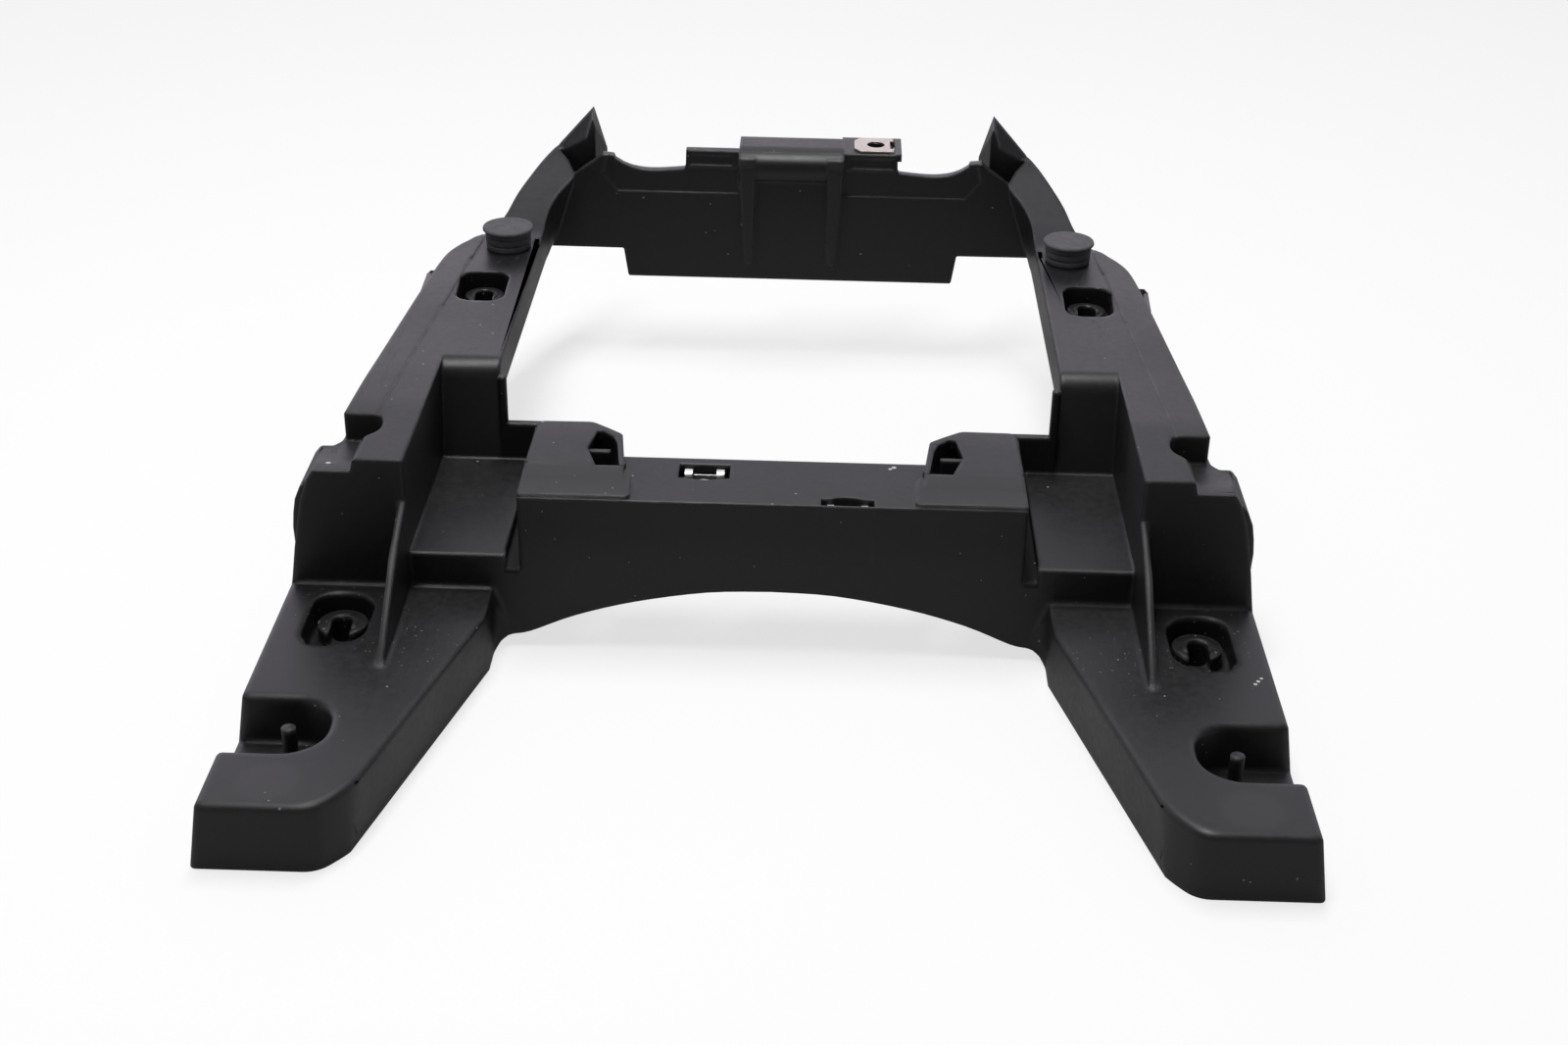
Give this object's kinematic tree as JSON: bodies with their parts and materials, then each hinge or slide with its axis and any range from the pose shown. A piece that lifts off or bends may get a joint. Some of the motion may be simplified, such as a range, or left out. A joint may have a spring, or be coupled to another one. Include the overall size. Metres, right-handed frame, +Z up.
{
  "type": "motorcycle luggage rack",
  "caption": "Moulded rear luggage rack for a motorcycle: two arms around an open middle, splayed feet, an arched near beam, rubber buffers and clip nuts.",
  "frame": {"origin": "on the floor under the feet, in the middle of the overall box", "axes": "+X across the rack, +Y from the feet to the far cross wall, +Z up"},
  "size_m": [0.311, 0.372, 0.0972],
  "materials": {
    "frame_plastic": "satin black, finely grained",
    "buffer_rubber": "dull",
    "clip_steel": "zinc plated, a little tarnished"
  },
  "bodies": {
    "root": {"frame": "frame_plastic", "buffers": "buffer_rubber", "clip_nuts": "clip_steel"}
  },
  "joints": []
}
